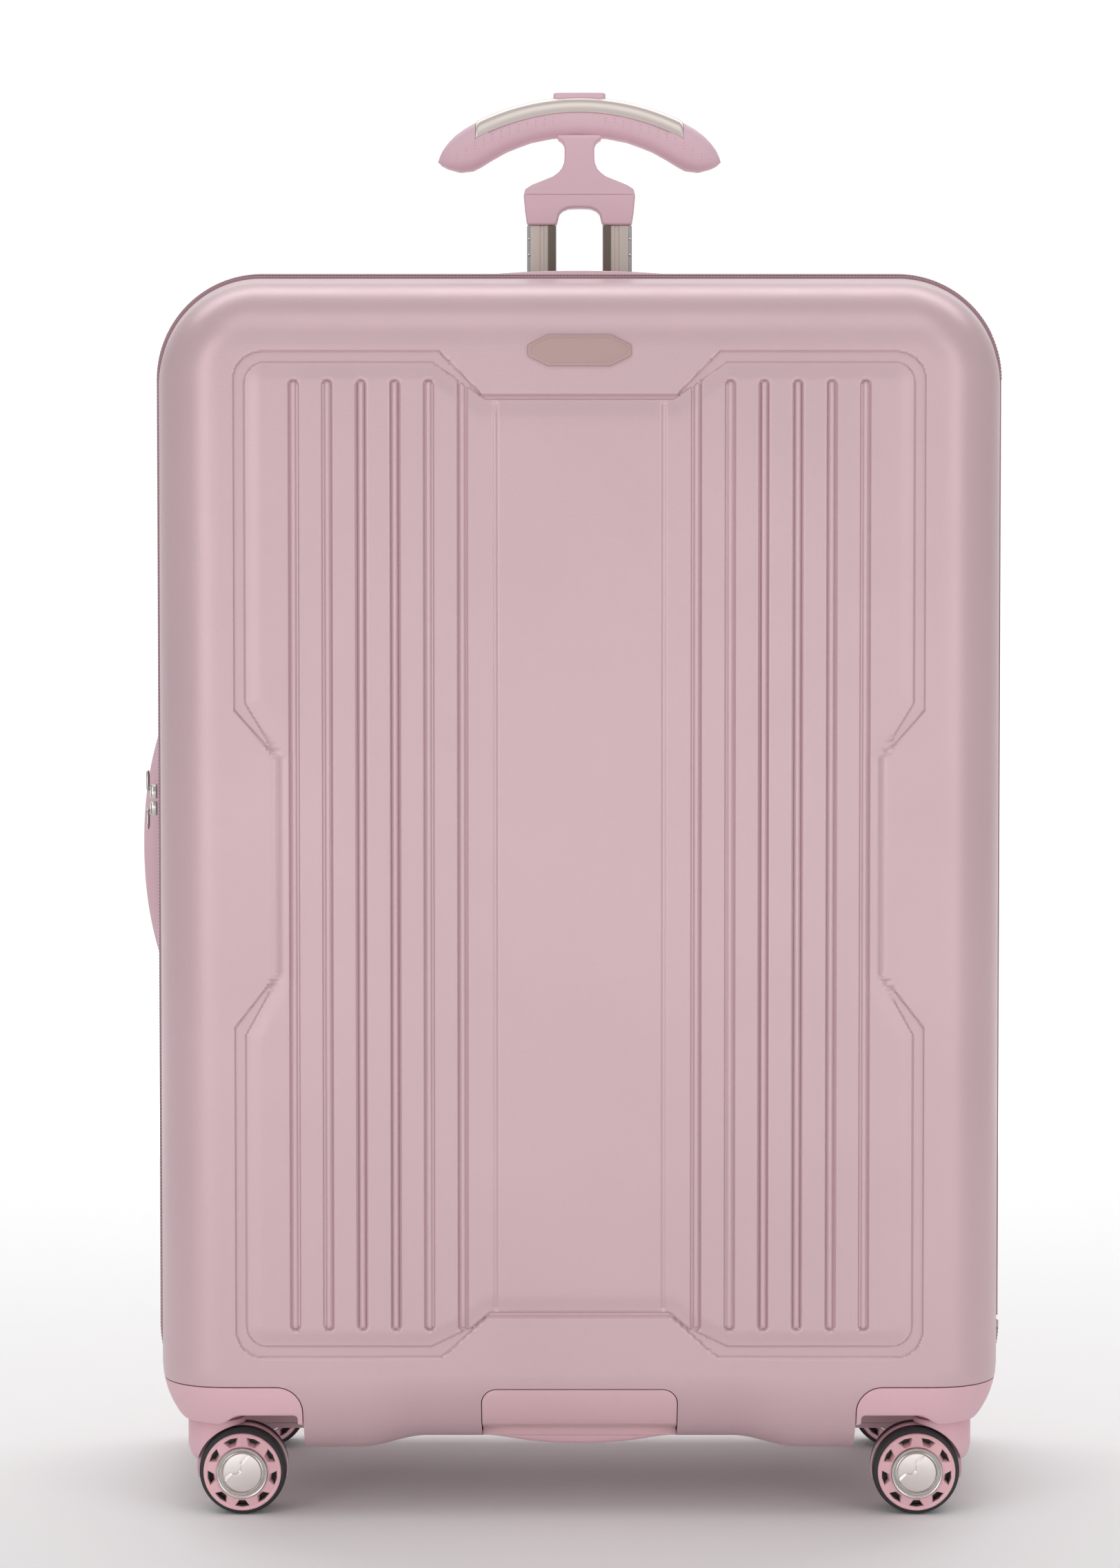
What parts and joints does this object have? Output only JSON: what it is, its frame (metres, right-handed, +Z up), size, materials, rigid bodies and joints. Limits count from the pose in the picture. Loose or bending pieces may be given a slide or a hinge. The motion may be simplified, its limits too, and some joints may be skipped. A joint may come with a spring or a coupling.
{
  "type": "hard shell suitcase on wheels",
  "caption": "Upright hard shell travel suitcase with twin-wheel swivel casters, ribbed shells, a telescopic T handle, carry handles and a zipper round its seam.",
  "frame": {"origin": "on the floor below the middle of the closed case, wheels standing on z = 0", "axes": "+Z up, -Y the way the front panel faces, +X towards the hinge side of the shells"},
  "size_m": [0.5361, 0.3044, 0.8754],
  "materials": {
    "shell": "satin pearl pink polycarbonate with a fine moulded grain",
    "housing": "satin rose pink moulded plastic",
    "soft_grip": "soft rose pink moulded rubber",
    "grey_plastic": "warm grey satin moulded plastic",
    "lining": "woven polyester lining, dusky rose grey",
    "zipper_tape": "dark burgundy brown woven zipper tape and coil",
    "nickel": "satin nickel plate",
    "grey_tube": "grey anodised aluminium",
    "champagne": "champagne anodised aluminium, satin",
    "dark_plastic": "black moulded plastic",
    "badge": "mauve satin metal plate with no marking",
    "tyre": "black ribbed polyurethane tyre",
    "wheel_rim": "satin rose pink moulded plastic"
  },
  "bodies": {
    "rear_case": {"rear_shell": "shell", "rear_lining": "lining", "zipper_tape_rear": "zipper_tape", "hinge_tape": "zipper_tape", "strap_left": "lining", "strap_right": "lining", "strap_buckle": "dark_plastic", "top_handle_tray": "housing", "side_handle_tray": "housing", "outer_tube_left": "grey_tube", "outer_tube_right": "grey_tube", "tube_foot": "dark_plastic", "handle_bezel": "dark_plastic", "caster_housing_rear_left": "housing", "caster_housing_rear_right": "housing"},
    "front_case": {"front_shell": "shell", "front_lining": "lining", "zipper_tape_front": "zipper_tape", "badge_plate": "badge", "bottom_grip": "housing", "caster_housing_front_left": "housing", "caster_housing_front_right": "housing"},
    "handle_middle": {"middle_tube_left": "grey_tube", "middle_tube_right": "grey_tube"},
    "handle_top": {"inner_tube_left": "champagne", "inner_tube_right": "champagne", "handle_yoke": "grey_plastic", "grip_bar": "soft_grip", "grip_plate": "champagne"},
    "release_button": {"release_button": "champagne"},
    "top_handle": {"top_handle": "soft_grip"},
    "side_handle": {"side_handle": "soft_grip"},
    "slider_upper": {"zipper_slider_upper": "nickel"},
    "slider_lower": {"zipper_slider_lower": "nickel"},
    "pull_upper": {"zipper_pull_upper": "nickel"},
    "pull_lower": {"zipper_pull_lower": "nickel"},
    "swivel_front_left": {"caster_fork_front_left": "housing", "caster_axle_front_left": "nickel"},
    "wheel_front_left_outer": {"tyre_front_left_outer": "tyre", "rim_front_left_outer": "wheel_rim"},
    "wheel_front_left_inner": {"tyre_front_left_inner": "tyre", "rim_front_left_inner": "wheel_rim"},
    "swivel_front_right": {"caster_fork_front_right": "housing", "caster_axle_front_right": "nickel"},
    "wheel_front_right_outer": {"tyre_front_right_outer": "tyre", "rim_front_right_outer": "wheel_rim"},
    "wheel_front_right_inner": {"tyre_front_right_inner": "tyre", "rim_front_right_inner": "wheel_rim"},
    "swivel_rear_left": {"caster_fork_rear_left": "housing", "caster_axle_rear_left": "nickel"},
    "wheel_rear_left_outer": {"tyre_rear_left_outer": "tyre", "rim_rear_left_outer": "wheel_rim"},
    "wheel_rear_left_inner": {"tyre_rear_left_inner": "tyre", "rim_rear_left_inner": "wheel_rim"},
    "swivel_rear_right": {"caster_fork_rear_right": "housing", "caster_axle_rear_right": "nickel"},
    "wheel_rear_right_outer": {"tyre_rear_right_outer": "tyre", "rim_rear_right_outer": "wheel_rim"},
    "wheel_rear_right_inner": {"tyre_rear_right_inner": "tyre", "rim_rear_right_inner": "wheel_rim"}
  },
  "joints": [
    {"name": "case_open", "type": "hinge", "parent": "rear_case", "child": "front_case", "pos_m": [0.2645, 0, 0.4], "axis": [0, 0, 1], "range_deg": [0, 180]},
    {"name": "handle_stage_lower", "type": "slide", "parent": "rear_case", "child": "handle_middle", "axis": [0, 0, 1], "range_m": [0, 0.15]},
    {"name": "handle_stage_upper", "type": "slide", "parent": "handle_middle", "child": "handle_top", "axis": [0, 0, 1], "range_m": [-0.068, 0.09]},
    {"name": "button_press", "type": "slide", "parent": "handle_top", "child": "release_button", "axis": [0, 0, -1], "range_m": [0, 0.003], "stiffness_N_per_m": 400},
    {"name": "top_handle_lift", "type": "slide", "parent": "rear_case", "child": "top_handle", "axis": [0, 0, 1], "range_m": [0, 0.012]},
    {"name": "side_handle_lift", "type": "slide", "parent": "rear_case", "child": "side_handle", "axis": [-1, 0, 0], "range_m": [0, 0.012], "stiffness_N_per_m": 60},
    {"name": "slider_upper_run", "type": "slide", "parent": "rear_case", "child": "slider_upper", "axis": [0, 0, 1], "range_m": [0, 0.2]},
    {"name": "slider_lower_run", "type": "slide", "parent": "rear_case", "child": "slider_lower", "axis": [0, 0, -1], "range_m": [0, 0.2]},
    {"name": "pull_upper_swing", "type": "hinge", "parent": "slider_upper", "child": "pull_upper", "pos_m": [-0.2693, 0, 0.4309], "axis": [0, -1, 0], "range_deg": [0, 90]},
    {"name": "pull_lower_swing", "type": "hinge", "parent": "slider_lower", "child": "pull_lower", "pos_m": [-0.2693, 0, 0.4189], "axis": [0, 1, 0], "range_deg": [0, 90]},
    {"name": "swivel_front_left_turn", "type": "hinge", "parent": "front_case", "child": "swivel_front_left", "pos_m": [-0.2194, -0.1, 0.06], "axis": [0, 0, 1], "continuous": true},
    {"name": "wheel_front_left_outer_spin", "type": "hinge", "parent": "swivel_front_left", "child": "wheel_front_left_outer", "pos_m": [-0.203, -0.1, 0.0262], "axis": [0, 1, 0], "continuous": true},
    {"name": "wheel_front_left_inner_spin", "type": "hinge", "parent": "swivel_front_left", "child": "wheel_front_left_inner", "pos_m": [-0.203, -0.1, 0.0262], "axis": [0, 1, 0], "continuous": true},
    {"name": "swivel_front_right_turn", "type": "hinge", "parent": "front_case", "child": "swivel_front_right", "pos_m": [0.2194, -0.1, 0.06], "axis": [0, 0, 1], "continuous": true},
    {"name": "wheel_front_right_outer_spin", "type": "hinge", "parent": "swivel_front_right", "child": "wheel_front_right_outer", "pos_m": [0.203, -0.1, 0.0262], "axis": [0, 1, 0], "continuous": true},
    {"name": "wheel_front_right_inner_spin", "type": "hinge", "parent": "swivel_front_right", "child": "wheel_front_right_inner", "pos_m": [0.203, -0.1, 0.0262], "axis": [0, 1, 0], "continuous": true},
    {"name": "swivel_rear_left_turn", "type": "hinge", "parent": "rear_case", "child": "swivel_rear_left", "pos_m": [-0.2194, 0.1, 0.06], "axis": [0, 0, 1], "continuous": true},
    {"name": "wheel_rear_left_outer_spin", "type": "hinge", "parent": "swivel_rear_left", "child": "wheel_rear_left_outer", "pos_m": [-0.203, 0.1, 0.0262], "axis": [0, 1, 0], "continuous": true},
    {"name": "wheel_rear_left_inner_spin", "type": "hinge", "parent": "swivel_rear_left", "child": "wheel_rear_left_inner", "pos_m": [-0.203, 0.1, 0.0262], "axis": [0, 1, 0], "continuous": true},
    {"name": "swivel_rear_right_turn", "type": "hinge", "parent": "rear_case", "child": "swivel_rear_right", "pos_m": [0.2194, 0.1, 0.06], "axis": [0, 0, 1], "continuous": true},
    {"name": "wheel_rear_right_outer_spin", "type": "hinge", "parent": "swivel_rear_right", "child": "wheel_rear_right_outer", "pos_m": [0.203, 0.1, 0.0262], "axis": [0, 1, 0], "continuous": true},
    {"name": "wheel_rear_right_inner_spin", "type": "hinge", "parent": "swivel_rear_right", "child": "wheel_rear_right_inner", "pos_m": [0.203, 0.1, 0.0262], "axis": [0, 1, 0], "continuous": true}
  ]
}
